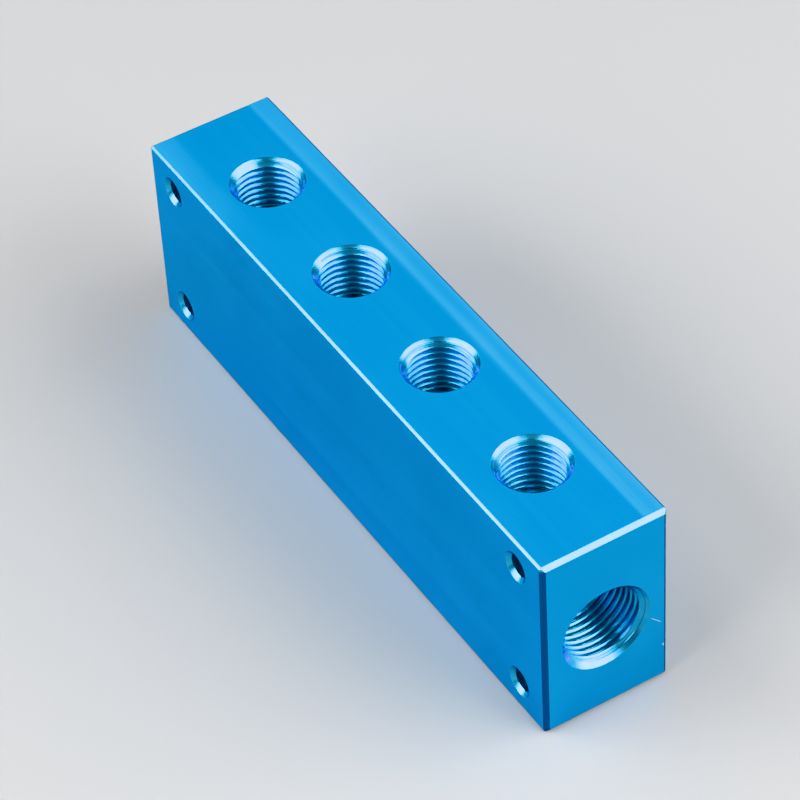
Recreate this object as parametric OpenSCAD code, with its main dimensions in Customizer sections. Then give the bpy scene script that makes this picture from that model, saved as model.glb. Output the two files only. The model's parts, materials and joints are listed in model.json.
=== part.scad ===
// Air manifold block: one machined bar with a row of tapped outlets on top, a gallery drilled
// from end to end below them, a tapped inlet at each end and cross-drilled mounting holes.
// Millimetres. X runs along the row of outlets, Y across the block, Z up from the base.
// The origin is at the centre of the base.

/* [Block] */
// Width across the block, from side face to side face
block_width = 25; // [22:0.5:50]
// Height from the base to the face with the outlets
block_height = 40; // [36:0.5:70]
// Chamfer along the four long edges of the bar
long_edge_chamfer = 0.4; // [0.1:0.05:1.5]
// Chamfer round the two sawn and faced ends
end_edge_chamfer = 0.75; // [0.1:0.05:1.5]

/* [Outlets] */
// Number of outlets in the row
outlet_count = 4; // [2:1:10]
// Distance between the axes of neighbouring outlets
outlet_pitch = 29; // [20:0.5:60]
// Distance from each end face to the axis of the nearest outlet
outlet_end_margin = 21.5; // [20:0.5:60]
// Tap drill of an outlet, 11 for a quarter-inch taper pipe thread
outlet_drill_d = 11; // [8:0.1:12]
// Mouth of the countersink on an outlet
outlet_mouth_d = 14; // [13:0.1:18]

/* [Gallery and inlets] */
// Diameter of the gallery that joins all the ports
gallery_d = 13; // [12.5:0.1:14]
// Height of the gallery's axis above the base
gallery_z = 19; // [16:0.5:22]
// Tap drill of an inlet, 14.5 for a three-eighths-inch taper pipe thread
inlet_drill_d = 14.5; // [14.2:0.1:16]
// Mouth of the countersink on an inlet
inlet_mouth_d = 17.5; // [17:0.1:20]
// Depth of the full tap drill of an inlet, from the end face
inlet_depth = 15; // [10:0.5:20]

/* [Drilling] */
// Included angle of every countersink
countersink_angle = 90; // [60:1:120]
// Included angle of the drill points
drill_point_angle = 118; // [90:1:140]

/* [Mounting holes] */
// Diameter of the plain holes through the width, 4.5 for M4 screws
mount_hole_d = 4.5; // [3:0.1:5.5]
// Mouth of the countersink at both ends of a mounting hole
mount_mouth_d = 6; // [5.6:0.1:7]
// Distance from each end face to the nearest mounting holes
mount_end_inset = 8; // [5:0.5:10]
// Distance from the base, and from the outlet face, to the nearest mounting holes
mount_face_inset = 6; // [5:0.5:7]

/* [Hidden] */
$fn = 96;
// Overshoot of every cutter past the face that it enters
overshoot = 1;

block_length = (outlet_count - 1) * outlet_pitch + 2 * outlet_end_margin;
outlet_xs = [for (i = [0 : outlet_count - 1]) (i - (outlet_count - 1) / 2) * outlet_pitch];
mount_xs = [for (side = [-1, 1]) side * (block_length / 2 - mount_end_inset)];
mount_zs = [mount_face_inset, block_height - mount_face_inset];
anodised_blue = [0.0, 0.50, 0.82];

// Rectangle centred on the origin, with its four corners cut at 45 degrees
module chamfered_rectangle(width, height, chamfer) {
    x = width / 2;
    y = height / 2;
    polygon([
        [x - chamfer, -y], [x, -y + chamfer], [x, y - chamfer], [x - chamfer, y],
        [chamfer - x, y], [-x, y - chamfer], [-x, chamfer - y], [chamfer - x, -y]
    ]);
}

// The bar: three crossed prisms leave a block with chamfers along its sides and round its ends
module bar() {
    translate([0, 0, block_height / 2])
        intersection() {
            rotate([90, 0, 90])
                linear_extrude(block_length, center = true)
                    chamfered_rectangle(block_width, block_height, long_edge_chamfer);
            linear_extrude(block_height, center = true)
                chamfered_rectangle(block_length, block_width, end_edge_chamfer);
            rotate([90, 0, 0])
                linear_extrude(block_width, center = true)
                    chamfered_rectangle(block_length, block_height, end_edge_chamfer);
        }
}

// Cutter for a countersink whose mouth is at z = 0, down to the wall of its drilled hole
module countersink(drill_d, mouth_d) {
    slope = tan(countersink_angle / 2);
    sink_depth = (mouth_d - drill_d) / 2 / slope;
    translate([0, 0, -sink_depth])
        cylinder(h = sink_depth + overshoot, d1 = drill_d, d2 = mouth_d + 2 * overshoot * slope);
}

// Cutter for a port whose mouth is at z = 0, drilled down to -depth, with its countersink
module port_cutter(drill_d, mouth_d, depth) {
    translate([0, 0, -depth])
        cylinder(h = depth + overshoot, d = drill_d);
    countersink(drill_d, mouth_d);
}

// Cone that a drill leaves at the bottom of its hole, with its base at z = 0 and its tip down
module drill_point(drill_d) {
    point_height = drill_d / 2 / tan(drill_point_angle / 2);
    translate([0, 0, -point_height])
        cylinder(h = point_height, d1 = 0, d2 = drill_d);
}

// Outlets: tapped ports from the top face down to the gallery's axis
module outlet_cutters() {
    for (x = outlet_xs)
        translate([x, 0, block_height])
            port_cutter(outlet_drill_d, outlet_mouth_d, block_height - gallery_z);
}

// Gallery: drilled through the whole length
module gallery_cutter() {
    translate([0, 0, gallery_z])
        rotate([0, 90, 0])
            cylinder(h = block_length + 2 * overshoot, d = gallery_d, center = true);
}

// Inlets: a wider tapped port at each end of the gallery
module inlet_cutters() {
    for (side = [-1, 1])
        translate([side * block_length / 2, 0, gallery_z])
            rotate([0, side * 90, 0]) {
                port_cutter(inlet_drill_d, inlet_mouth_d, inlet_depth);
                translate([0, 0, -inlet_depth])
                    drill_point(inlet_drill_d);
            }
}

// Mounting holes: plain holes through the width, near the four corners of the side faces, with a
// countersink on both sides
module mount_hole_cutters() {
    for (x = mount_xs, z = mount_zs)
        translate([x, 0, z])
            rotate([90, 0, 0]) {
                cylinder(h = block_width + 2 * overshoot, d = mount_hole_d, center = true);
                for (side = [0, 1])
                    mirror([0, 0, side])
                        translate([0, 0, block_width / 2])
                            countersink(mount_hole_d, mount_mouth_d);
            }
}

module manifold_block() {
    color(anodised_blue)
        difference() {
            bar();
            gallery_cutter();
            outlet_cutters();
            inlet_cutters();
            mount_hole_cutters();
        }
}

manifold_block();
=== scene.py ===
import bmesh
import bpy
import json
import math
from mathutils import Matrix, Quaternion, Vector


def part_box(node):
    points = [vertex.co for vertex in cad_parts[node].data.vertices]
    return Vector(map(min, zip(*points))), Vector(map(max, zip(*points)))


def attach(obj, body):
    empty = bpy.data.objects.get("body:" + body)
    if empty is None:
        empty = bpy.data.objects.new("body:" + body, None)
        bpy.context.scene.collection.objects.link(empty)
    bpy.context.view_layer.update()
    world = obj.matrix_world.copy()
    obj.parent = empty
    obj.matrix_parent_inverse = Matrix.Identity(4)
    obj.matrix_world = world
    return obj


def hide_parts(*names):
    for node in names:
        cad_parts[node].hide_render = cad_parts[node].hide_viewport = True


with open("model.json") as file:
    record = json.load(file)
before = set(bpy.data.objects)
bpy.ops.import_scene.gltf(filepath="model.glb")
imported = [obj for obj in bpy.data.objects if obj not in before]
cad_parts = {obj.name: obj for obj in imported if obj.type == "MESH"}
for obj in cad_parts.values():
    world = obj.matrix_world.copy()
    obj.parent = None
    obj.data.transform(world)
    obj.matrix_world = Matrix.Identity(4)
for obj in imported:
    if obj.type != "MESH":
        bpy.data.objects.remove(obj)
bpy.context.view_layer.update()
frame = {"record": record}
mm = 0.001
parallel = 0.9999  # cosine from which two directions count as one
touching = 0.01 * mm  # gap below which two places count as one
low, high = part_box("manifold_block")
centre = (low + high) / 2
mounts = {mount["name"]: mount for mount in frame["record"]["mounts"]}
print("frame loaded, block", [round(side / mm, 2) for side in high - low], "mm")


# helpers for working by selection
def pick(obj):
    bpy.ops.object.select_all(action="DESELECT")
    obj.select_set(True)
    bpy.context.view_layer.objects.active = obj


def editMode(obj, kind):
    pick(obj)
    bpy.ops.object.mode_set(mode="EDIT")
    bpy.ops.mesh.select_mode(type=kind)
    bpy.ops.mesh.select_all(action="DESELECT")


def objectMode():
    bpy.ops.object.mode_set(mode="OBJECT")


def choose(obj, layer, test):
    form = bmesh.from_edit_mesh(obj.data)
    for item in getattr(form, layer):
        item.select_set(test(item))
    form.select_flush_mode()
    bmesh.update_edit_mesh(obj.data)


def faceOutwards():
    bpy.ops.mesh.select_all(action="SELECT")
    bpy.ops.mesh.normals_make_consistent(inside=False)


def applyAll(obj):
    pick(obj)
    bpy.ops.object.transform_apply(location=True, rotation=True, scale=True)


def addModifier(obj, kind, settings):
    pick(obj)
    made = obj.modifiers.new(kind.lower(), kind)
    for key, value in settings.items():
        setattr(made, key, value)
    bpy.ops.object.modifier_apply(modifier=made.name)


def combine(obj, tool, operation):
    addModifier(obj, "BOOLEAN", {"object": tool, "operation": operation, "solver": "MANIFOLD"})
    bpy.data.objects.remove(tool)


# the sawn and faced bar
bar = {
    "endChamfer": 0.75 * mm,
    "longChamfer": 0.4 * mm,
    "edgeBreak": 0.1 * mm,  # soft corners left on the chamfers by the blasting
    "edgeSteps": 2,
    "edgeAngle": 25,  # degrees, flatter corners stay as they are
}


def runsLengthwise(edge):
    start, end = (vert.co for vert in edge.verts)
    return abs((start - end).normalized().x) > parallel


def chamferEdges(block, width, test):
    bpy.ops.mesh.select_all(action="DESELECT")
    choose(block, "edges", test)
    bpy.ops.mesh.bevel(offset=width, offset_type="OFFSET", segments=1, affect="EDGES")


def makeBar():
    bpy.ops.object.select_all(action="DESELECT")
    bpy.ops.mesh.primitive_cube_add(size=1, location=centre, scale=high - low)
    block = bpy.context.active_object
    block.name = "anodised_block"
    applyAll(block)
    editMode(block, "EDGE")
    chamferEdges(block, bar["endChamfer"], lambda edge: not runsLengthwise(edge))
    # only the four long edges are over half the bar's length
    chamferEdges(block, bar["longChamfer"],
                 lambda edge: runsLengthwise(edge) and edge.calc_length() > high.x)
    objectMode()
    addModifier(block, "BEVEL", {
        "width": bar["edgeBreak"], "segments": bar["edgeSteps"],
        "limit_method": "ANGLE", "angle_limit": math.radians(bar["edgeAngle"])})
    return block


# drills: a cylinder whose ends are pulled out into a countersink or a drill point
drill = {
    "sides": 96,
    "sinkAngle": 90,  # degrees, included
    "pointAngle": 118,
    "lip": 0.12 * mm,  # rounded edge round every mouth
    "lipStart": 0.41,  # where the cone gives way to the lip, in lips inside the mouth
    "lipFacets": ((0.3, 0.45), (0.12, 1.0)),  # rise of each facet and how far out it ends, in lips
    "overshoot": 1 * mm,
    "overshootGrow": 1.3,
}
sinkSlope = math.tan(math.radians(drill["sinkAngle"] / 2))
pointSlope = math.tan(math.radians(drill["pointAngle"] / 2))


def chooseEnd(obj, up):
    # the flat end is the only face that has its middle on the axis
    bpy.ops.mesh.select_all(action="DESELECT")
    choose(obj, "faces", lambda face: face.normal.z * up > parallel
           and face.calc_center_median().to_2d().length < touching)


def pullEnd(up, rise, grow):
    bpy.ops.mesh.extrude_region_move(TRANSFORM_OT_translate={"value": (0, 0, up * rise)})
    bpy.ops.transform.resize(value=(grow, grow, 1), center_override=(0, 0, 0))


def flare(obj, up, radius, mouthRadius):
    lip = drill["lip"]
    inner = mouthRadius - lip * drill["lipStart"]
    # up the cone, round the lip and out past the face
    rings = [((inner - radius) / sinkSlope, inner)]
    for rise, reach in drill["lipFacets"]:
        rings.append((lip * rise, inner + lip * reach))
    chooseEnd(obj, up)
    for rise, ringRadius in rings:
        pullEnd(up, rise, ringRadius / radius)
        radius = ringRadius
    pullEnd(up, drill["overshoot"], drill["overshootGrow"])


def makeDrill(name, radius, mouthRadius, depth, bottom):
    sink = (mouthRadius - radius) / sinkSlope
    straight = depth - sink * (2 if bottom == "sink" else 1)
    bpy.ops.object.select_all(action="DESELECT")
    bpy.ops.mesh.primitive_cylinder_add(
        vertices=drill["sides"], radius=radius, depth=straight,
        location=(0, 0, -sink - straight / 2))
    made = bpy.context.active_object
    made.name = name
    applyAll(made)
    editMode(made, "FACE")
    flare(made, 1, radius, mouthRadius)
    if bottom == "sink":
        flare(made, -1, radius, mouthRadius)
    if bottom == "point":
        chooseEnd(made, -1)
        bpy.ops.mesh.extrude_region_move(TRANSFORM_OT_translate={"value": (0, 0, -radius / pointSlope)})
        bpy.ops.mesh.merge(type="CENTER")
    faceOutwards()
    objectMode()
    return made


# taper taps: one pitch of the thread form, wound up, trimmed and tapered
tapForm = {
    "pitch": 1.337 * mm,  # 19 threads to the inch
    "flankAngle": 55,  # degrees, included
    "rounding": 0.1373,  # radius of crests and roots, in pitches
    "depth": 0.6403,  # crest to root, in pitches
    "roundSteps": 4,
    "turnSteps": 72,
    "taper": 1 / 16,  # on the diameter
    "spareTurns": 3,  # wound past both ends and trimmed off
    "standOut": 0.1 * mm,  # left above the mouth
    "windingWeld": 0.001 * mm,  # points this close are joined while winding
    "lastWeld": 0.002 * mm,  # and once more before the trim
    "trimGap": 0.0005 * mm,
    "startTurn": 0.7,  # radians from one port's thread to the next one's
}


def threadForm(majorRadius):
    pitch = tapForm["pitch"]
    bend = tapForm["rounding"] * pitch
    minorRadius = majorRadius - tapForm["depth"] * pitch
    lean = math.radians(90 - tapForm["flankAngle"] / 2)
    steps = tapForm["roundSteps"]
    crest = []
    root = []
    for i in range(steps + 1):
        turn = lean * (2 * i / steps - 1)
        inward = bend - bend * math.cos(turn)
        crest.append(Vector((majorRadius - inward, 0, pitch / 4 + bend * math.sin(turn))))
        root.append(Vector((minorRadius + inward, 0, pitch * 3 / 4 + bend * math.sin(turn))))
    middle = (majorRadius + minorRadius) / 2
    return [Vector((middle, 0, 0)), *crest, *root, Vector((middle, 0, pitch))]


def trimTap(height, above):
    bpy.ops.mesh.select_all(action="SELECT")
    bpy.ops.mesh.bisect(
        plane_co=(0, 0, height), plane_no=(0, 0, 1), use_fill=True,
        clear_outer=above, clear_inner=not above, threshold=tapForm["trimGap"])


def makeTap(name, majorRadius, depth):
    pitch = tapForm["pitch"]
    turns = math.ceil(depth / pitch) + tapForm["spareTurns"]
    form = threadForm(majorRadius)
    bpy.ops.object.select_all(action="DESELECT")
    bpy.ops.mesh.primitive_plane_add(size=pitch, location=form[0])
    made = bpy.context.active_object
    made.name = name
    applyAll(made)
    # one vertex, pulled from point to point
    editMode(made, "VERT")
    bpy.ops.mesh.select_all(action="SELECT")
    bpy.ops.mesh.merge(type="CENTER")
    for here, there in zip(form, form[1:]):
        bpy.ops.mesh.extrude_region_move(TRANSFORM_OT_translate={"value": there - here})
    bpy.ops.mesh.select_all(action="SELECT")
    bpy.ops.transform.translate(value=(0, 0, (1 - turns) * pitch))
    objectMode()
    addModifier(made, "SCREW", {
        "axis": "Z", "angle": math.tau, "screw_offset": pitch, "iterations": turns,
        "steps": tapForm["turnSteps"], "render_steps": tapForm["turnSteps"],
        "use_merge_vertices": True, "merge_threshold": tapForm["windingWeld"]})
    editMode(made, "VERT")
    bpy.ops.mesh.select_all(action="SELECT")
    bpy.ops.mesh.remove_doubles(threshold=tapForm["lastWeld"])
    trimTap(tapForm["standOut"], above=True)
    trimTap(-depth, above=False)
    faceOutwards()
    objectMode()
    heights = [vert.co.z for vert in made.data.vertices]
    tall = max(heights) - min(heights)
    addModifier(made, "SIMPLE_DEFORM", {
        "deform_method": "TAPER", "deform_axis": "Z",
        "factor": tapForm["taper"] / 2 * tall / majorRadius})
    return made


# where a mount opens on the block's outside
def mouthOf(mount):
    axis = Vector(mount["axis"])
    place = Vector(mount["pos_m"])
    for i in range(3):
        if abs(axis[i]) > parallel:
            place[i] = high[i] if axis[i] > 0 else low[i]
    return place, axis


def setCutter(cutter, mount, spin):
    pick(cutter)
    bpy.ops.object.duplicate()
    made = bpy.context.active_object
    place, axis = mouthOf(mount)
    up = Vector((0, 0, 1))
    made.rotation_mode = "QUATERNION"
    made.rotation_quaternion = up.rotation_difference(axis) @ Quaternion(up, spin)
    made.location = place
    applyAll(made)
    return made


gallery = {"radius": 6.5 * mm, "sides": 96, "height": mounts["inlet_front"]["pos_m"][2]}


def cutGallery(block):
    bpy.ops.object.select_all(action="DESELECT")
    bpy.ops.mesh.primitive_cylinder_add(
        vertices=gallery["sides"], radius=gallery["radius"], depth=high.x - low.x + 2 * drill["overshoot"],
        location=(0, 0, gallery["height"]), rotation=(0, math.pi / 2, 0))
    made = bpy.context.active_object
    applyAll(made)
    combine(block, made, "DIFFERENCE")


outlet = {"majorRadius": 13.157 / 2 * mm, "mouthRadius": 7 * mm, "threadDepth": 19 * mm}
inlet = {
    "majorRadius": 16.662 / 2 * mm,
    "mouthRadius": 8.75 * mm,
    "threadDepth": 13 * mm,
    "drillDepth": 15 * mm,
}
screwHole = {"mouthRadius": 3 * mm}
shading = {"smoothAngle": 35, "faceWeight": 50}  # degrees, and how firmly flat faces keep their shade


def cutPorts(block, kind, port, depth, bottom):
    members = [mount for name, mount in mounts.items() if name.startswith(kind)]
    radius = members[0]["dims"]["r_mm"] * mm
    cutter = makeDrill(kind + "Cutter", radius, port["mouthRadius"], depth, bottom)
    if "majorRadius" in port:
        combine(cutter, makeTap(kind + "Tap", port["majorRadius"], port["threadDepth"]), "UNION")
    for i, mount in enumerate(members):
        combine(block, setCutter(cutter, mount, tapForm["startTurn"] * i), "DIFFERENCE")
    bpy.data.objects.remove(cutter)
    print(kind, "cut", len(members), "times")


def makeBlock():
    block = makeBar()
    cutGallery(block)
    cutPorts(block, "outlet", outlet, high.z - gallery["height"], "plain")
    cutPorts(block, "inlet", inlet, inlet["drillDepth"], "point")
    cutPorts(block, "screw_hole", screwHole, high.y - low.y, "sink")
    pick(block)
    bpy.ops.object.shade_smooth_by_angle(angle=math.radians(shading["smoothAngle"]))
    addModifier(block, "WEIGHTED_NORMAL", {"keep_sharp": True, "weight": shading["faceWeight"]})
    return block


midNoise = 0.5  # noise swings about this value


# shader values that can be added and multiplied in plain Python
class Wire:
    def __init__(self, tree, socket=None):
        self.tree = tree
        self.socket = socket

    def node(self, kind, settings, sockets, out=0):
        made = self.tree.nodes.new(kind)
        for key, value in settings.items():
            setattr(made, key, value)
        for key, value in sockets.items():
            if isinstance(value, Wire):
                self.tree.links.new(value.socket, made.inputs[key])
            else:
                made.inputs[key].default_value = value
        return Wire(self.tree, made.outputs[out] if made.outputs else None)

    def math(self, operation, first, second=0.0):
        return self.node("ShaderNodeMath", {"operation": operation}, {0: first, 1: second})

    def __add__(self, other):
        return self.math("ADD", self, other)

    def __sub__(self, other):
        return self.math("SUBTRACT", self, other)

    def __rsub__(self, other):
        return self.math("SUBTRACT", other, self)

    def __mul__(self, other):
        return self.math("MULTIPLY", self, other)

    __radd__ = __add__
    __rmul__ = __mul__

    def size(self):
        return self.math("ABSOLUTE", self)

    def parts(self):
        return [self.node("ShaderNodeSeparateXYZ", {}, {"Vector": self}, i) for i in range(3)]

    def step(self, start, end):
        return self.node("ShaderNodeMapRange", {"interpolation_type": "SMOOTHSTEP"},
                         {"Value": self, "From Min": start, "From Max": end})

    def fade(self, reach, solid):
        return 1 - self.step(reach * solid, reach)

    def noise(self, scale, detail=2.0):
        spread = self.node("ShaderNodeVectorMath", {"operation": "MULTIPLY"}, {0: self, 1: scale})
        return self.node("ShaderNodeTexNoise", {}, {"Vector": spread, "Scale": 1.0, "Detail": detail})

    def swing(self, spread):
        return (self - midNoise) * spread

    def blend(self, first, second):
        return self.node("ShaderNodeMix", {"data_type": "RGBA"}, {0: self, 6: first, 7: second}, 2)


def startMaterial(name):
    made = bpy.data.materials.new(name)
    made.use_nodes = True
    made.node_tree.nodes.clear()
    return made, Wire(made.node_tree)


# one dyed film on two surfaces: satin on the bar's own faces, bright where a tool cut last, with the cuts'
# film set lighter as painted highlight
dyedFilm = {"edgeTint": (0.04, 0.45, 0.92, 1), "coatRoughness": 0.15}


def dyedMetal(wire, coat, varying):
    skin = wire.node("ShaderNodeBsdfPrincipled", {}, {
        "Metallic": 1.0, "Specular Tint": dyedFilm["edgeTint"],
        "Coat Weight": coat, "Coat Roughness": dyedFilm["coatRoughness"], **varying})
    wire.node("ShaderNodeOutputMaterial", {}, {"Surface": skin})


satinFaces = {
    "film": (0.0, 0.236, 0.53, 1),
    "paleTone": (0.06, 0.38, 0.70, 1),  # paler tone: thinner film in the cloud and lines, painted reflection in the top bands, painted light on the long sides
    "bareMetal": (0.45, 0.75, 0.85, 1),
    "coat": 0.05,
    "roughness": 0.33,
    "roughSwing": {"lines": 0.05, "cloud": 0.08},
    "skin": (0.2 * mm, 0.1 * mm),  # how near a face a point comes to count as on it
    "lineScale": (7, 520, 520),  # drawing lines run along the bar
    "lineRange": (0.35, 0.65),
    "cloudScale": (38, 38, 38),
    "cloudRange": (0.35, 0.75),
    # cloud and lines are the film's own tone; the top bands are painted reflection, the long sides'
    # paleness is painted light, and the faced ends are a little paler
    "paleness": {"cloud": 0.16, "lines": 0.08, "sheenBand": 0.7, "side": 0.8, "end": 0.35},
    "sheenBandBorder": (8.3 * mm, 10.2 * mm),  # painted reflection: paler bands along the top's long edges
    "sheenBandWander": 2 * mm,  # how far the drawing lines shift that border
    "sheenBandFade": (-62 * mm, -18 * mm),  # the left painted reflection band dies away from the rear end to the middle
    "sheenBandSwing": {"lines": 1.0, "cloud": 0.5},
    "waveScale": (14, 100, 100),  # slight waviness from the drawing die
    "waveDepth": 0.01 * mm,
    "waveStrength": 0.5,
    "scratch": {"y": 10 * mm, "z": 14.8 * mm, "half": 1.2 * mm, "wide": 0.15 * mm, "lean": -1,
                "solidHalf": 0.6, "solidWide": 0.4},  # shares that don't fade
    "nick": {"y": 11.5 * mm, "z": 7.9 * mm, "wide": 0.35 * mm, "squash": 0.6, "solidWide": 0.4},
}


def onFace(distance, face):
    near, on = satinFaces["skin"]
    return distance.step(face - near, face - on)


def endMarks(along, across, height):
    # a fine scratch and a nick beside the right edge of the front end
    scratch = satinFaces["scratch"]
    nick = satinFaces["nick"]
    run = across - scratch["y"]
    offLine = (height - scratch["z"] - run * scratch["lean"]).size()
    line = offLine.fade(scratch["wide"], scratch["solidWide"])
    line = line * run.size().fade(scratch["half"], scratch["solidHalf"])
    offNick = (across - nick["y"]).size() + (height - nick["z"]).size() * nick["squash"]
    dot = offNick.fade(nick["wide"], nick["solidWide"])
    return (line + dot) * onFace(along, high.x)


def satinMaterial():
    made, wire = startMaterial("satinBlue")
    place = wire.node("ShaderNodeTexCoord", {}, {}, "Object")
    along, across, height = place.parts()
    onEnd = onFace(along.size(), high.x)
    onSide = onFace(across.size(), high.y)
    onTop = onFace(height, high.z)
    cloud = place.noise(satinFaces["cloudScale"])
    # the faced ends have no drawing lines
    lines = place.noise(satinFaces["lineScale"]) * (1 - onEnd) + onEnd * midNoise
    # painted reflection: paler bands along the top's long edges, wavering with the drawing lines and cloud
    sheenBorder = lines * satinFaces["sheenBandWander"]
    rightSheenBand = (across + sheenBorder).step(*satinFaces["sheenBandBorder"])
    leftSheenBand = (sheenBorder - across).step(*satinFaces["sheenBandBorder"])
    leftSheenBand = leftSheenBand * (1 - along.step(*satinFaces["sheenBandFade"]))
    sheenBandSwing = satinFaces["sheenBandSwing"]
    sheenBand = (rightSheenBand + leftSheenBand) * onTop
    sheenBand = sheenBand * (cloud.swing(sheenBandSwing["cloud"]) + 1) * (lines.swing(sheenBandSwing["lines"]) + 1)
    paleness = satinFaces["paleness"]
    pale = cloud.step(*satinFaces["cloudRange"]) * paleness["cloud"]
    pale = pale + lines.step(*satinFaces["lineRange"]) * paleness["lines"]
    # painted reflection in the top bands, painted light on the long sides, and the faced ends a little
    # paler
    pale = pale + sheenBand * paleness["sheenBand"] + onSide * paleness["side"] + onEnd * paleness["end"]
    colour = pale.blend(satinFaces["film"], satinFaces["paleTone"])
    colour = endMarks(along, across, height).blend(colour, satinFaces["bareMetal"])
    roughSwing = satinFaces["roughSwing"]
    rough = lines.swing(roughSwing["lines"]) + cloud.swing(roughSwing["cloud"]) + satinFaces["roughness"]
    waves = place.noise(satinFaces["waveScale"], detail=0.0)
    relief = wire.node("ShaderNodeBump", {}, {
        "Height": waves, "Strength": satinFaces["waveStrength"], "Distance": satinFaces["waveDepth"]})
    dyedMetal(wire, satinFaces["coat"], {"Base Color": colour, "Roughness": rough, "Normal": relief})
    return made


brightCuts = {
    # the cuts' own blue dye, set lighter and paler than on the satin faces as painted highlight so their
    # glints read whiter
    "film": (0.02, 0.31, 0.57, 1),
    "paleTone": (0.10, 0.48, 0.72, 1),
    "paintedCornerShade": (0.0, 0.075, 0.25, 1),  # painted shade on the four upright corners, standing in for a dark reflection
    "coat": 0.15,
    "roughness": 0.24,
    "roughSwing": {"marks": 0.04, "patch": 0.03},
    "markScale": (700, 700, 700),  # chatter left by the cutters
    "markRange": (0.35, 0.7),
    "patchScale": (120, 120, 120),
    "patchRange": (0.3, 0.7),
    "paleness": {"marks": 0.3, "patch": 0.3},
    "cornerReach": (1.3, 1.1, 0.9),  # in end chamfers: where a corner starts, is whole, ends on top
}


# painted shade: darkens the upright corner chamfers of the ends
def shadedUprightCorners(along, across, height):
    start, whole, top = (bar["endChamfer"] * share for share in brightCuts["cornerReach"])
    corner = along.size().step(high.x - start, high.x - whole)
    corner = corner * across.size().step(high.y - start, high.y - whole)
    return corner * (1 - height.step(high.z - whole, high.z - top))


def brightMaterial():
    made, wire = startMaterial("brightCutBlue")
    place = wire.node("ShaderNodeTexCoord", {}, {}, "Object")
    marks = place.noise(brightCuts["markScale"])
    patch = place.noise(brightCuts["patchScale"])
    paleness = brightCuts["paleness"]
    pale = marks.step(*brightCuts["markRange"]) * paleness["marks"]
    pale = pale + patch.step(*brightCuts["patchRange"]) * paleness["patch"]
    colour = pale.blend(brightCuts["film"], brightCuts["paleTone"])
    # painted shade on the four upright corners
    colour = shadedUprightCorners(*place.parts()).blend(colour, brightCuts["paintedCornerShade"])
    roughSwing = brightCuts["roughSwing"]
    rough = marks.swing(roughSwing["marks"]) + patch.swing(roughSwing["patch"]) + brightCuts["roughness"]
    dyedMetal(wire, brightCuts["coat"], {"Base Color": colour, "Roughness": rough})
    return made


def onBarFace(face):
    middle = face.calc_center_median()
    for i in range(3):
        away = min(abs(middle[i] - low[i]), abs(middle[i] - high[i]))
        if abs(face.normal[i]) > parallel and away < touching:
            return True
    return False


def finishBlock(block):
    block.data.materials.clear()
    block.data.materials.append(satinMaterial())
    block.data.materials.append(brightMaterial())
    editMode(block, "FACE")
    choose(block, "faces", lambda face: not onBarFace(face))
    block.active_material_index = 1
    bpy.ops.object.material_slot_assign()
    objectMode()
    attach(block, "root")
    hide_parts("manifold_block")


floor = {"size": 6.0, "colour": (0.176, 0.177, 0.179, 1), "roughness": 0.6}


def makeFloor():
    bpy.ops.object.select_all(action="DESELECT")
    bpy.ops.mesh.primitive_plane_add(size=floor["size"], location=(0, 0, low.z))
    made = bpy.context.active_object
    made.name = "studioFloor"
    finish, wire = startMaterial("paleFloor")
    skin = wire.node("ShaderNodeBsdfPrincipled", {}, {
        "Base Color": floor["colour"], "Roughness": floor["roughness"]})
    wire.node("ShaderNodeOutputMaterial", {}, {"Surface": skin})
    made.data.materials.append(finish)


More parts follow.
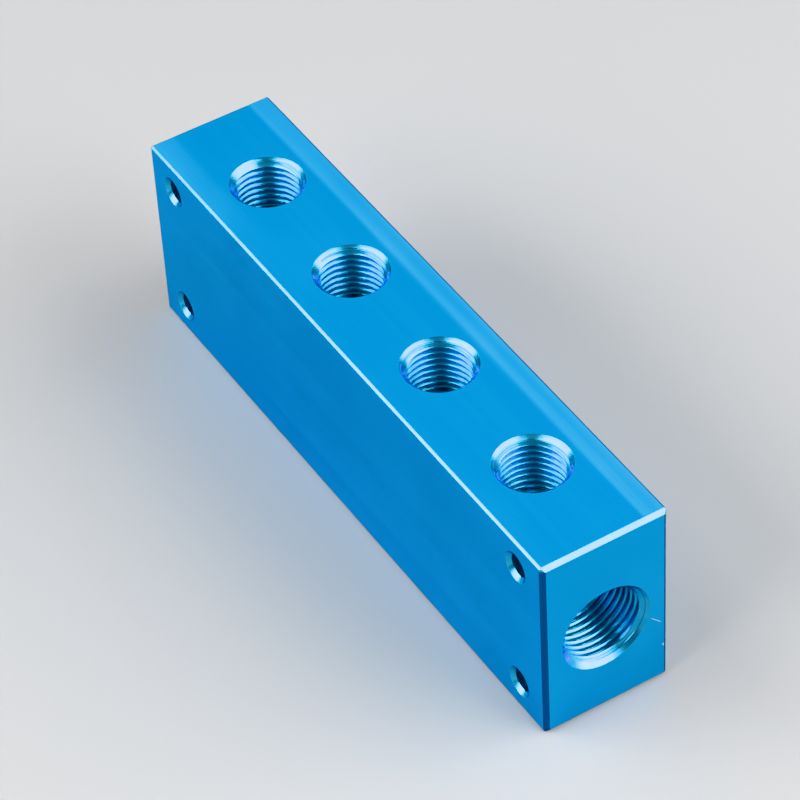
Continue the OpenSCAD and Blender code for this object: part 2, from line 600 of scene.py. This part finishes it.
# softboxes by compass bearing, height angle and roll in degrees, then metres and brightness
softboxes = {
    "rightBox": {"bearing": 135, "rise": 22, "roll": -22, "distance": 1.0,
                 "wide": 1.3, "tall": 0.9, "glow": 14.0},
    "leftBox": {"bearing": -15, "rise": 31, "roll": 22, "distance": 1.0,
                "wide": 1.3, "tall": 0.56, "glow": 15.5},
    "rightStrip": {"bearing": 176, "rise": 54, "roll": -50, "distance": 1.0,
                   "wide": 0.7, "tall": 0.26, "glow": 9.5},
    "leftStrip": {"bearing": -55, "rise": 54, "roll": 50, "distance": 1.0,
                  "wide": 0.7, "tall": 0.26, "glow": 9.5},
    # small fills that narrow the gap in the bright crescents of the outlets
    "rightFill": {"bearing": 92, "rise": 40, "roll": 0, "distance": 1.0,
                  "wide": 0.3, "tall": 0.2, "glow": 7.0},
    "leftFill": {"bearing": 29, "rise": 40, "roll": 0, "distance": 1.0,
                 "wide": 0.3, "tall": 0.2, "glow": 7.0},
    # what the top face reflects
    "backBox": {"bearing": 240, "rise": 46, "roll": 0, "distance": 1.2,
                "wide": 1.0, "tall": 0.8, "glow": 1.14},
}
room = {"colour": (0.90, 0.95, 1.0, 1), "glow": 0.22}


def bearingVector(bearing, rise):
    turn = math.radians(bearing)
    lift = math.radians(rise)
    return Vector((math.sin(turn) * math.cos(lift), -math.cos(turn) * math.cos(lift), math.sin(lift)))


def lookBack(obj, outward, roll):
    obj.rotation_mode = "QUATERNION"
    tilt = Quaternion((0, 0, 1), math.radians(roll))
    obj.rotation_quaternion = (-outward).to_track_quat("-Z", "Y") @ tilt


def makeLights():
    for name, box in softboxes.items():
        outward = bearingVector(box["bearing"], box["rise"])
        bpy.ops.object.light_add(type="AREA", location=centre + outward * box["distance"])
        lamp = bpy.context.active_object
        lamp.name = name
        lookBack(lamp, outward, box["roll"])
        lamp.data.shape = "RECTANGLE"
        lamp.data.size = box["wide"]
        lamp.data.size_y = box["tall"]
        # watts that give every panel its glow, whatever its area
        lamp.data.energy = box["glow"] * math.pi * box["wide"] * box["tall"]
    world = bpy.data.worlds.new("softRoom")
    world.use_nodes = True
    sky = world.node_tree.nodes["Background"]
    sky.inputs["Color"].default_value = room["colour"]
    sky.inputs["Strength"].default_value = room["glow"]
    bpy.context.scene.world = world
    bpy.context.scene.view_settings.view_transform = "Khronos PBR Neutral"  # keeps hue in the bright cuts


view = {
    "place": Vector((433.7, -245.0, 499.2)) * mm,
    "roll": -3.55,  # degrees
    "lens": 176,  # millimetres, as the sensor
    "sensor": 36,
    "nearest": 10 * mm,
}


def makeCamera():
    bpy.ops.object.camera_add(location=view["place"])
    made = bpy.context.active_object
    made.name = "photoView"
    lookBack(made, (view["place"] - centre).normalized(), view["roll"])
    made.data.lens = view["lens"]
    made.data.sensor_width = view["sensor"]
    made.data.clip_start = view["nearest"]
    bpy.context.scene.camera = made


body = makeBlock()
finishBlock(body)
print("block made,", sum(len(face.vertices) - 2 for face in body.data.polygons), "triangles")
makeFloor()
makeLights()
makeCamera()
print("floor, lights and camera set")
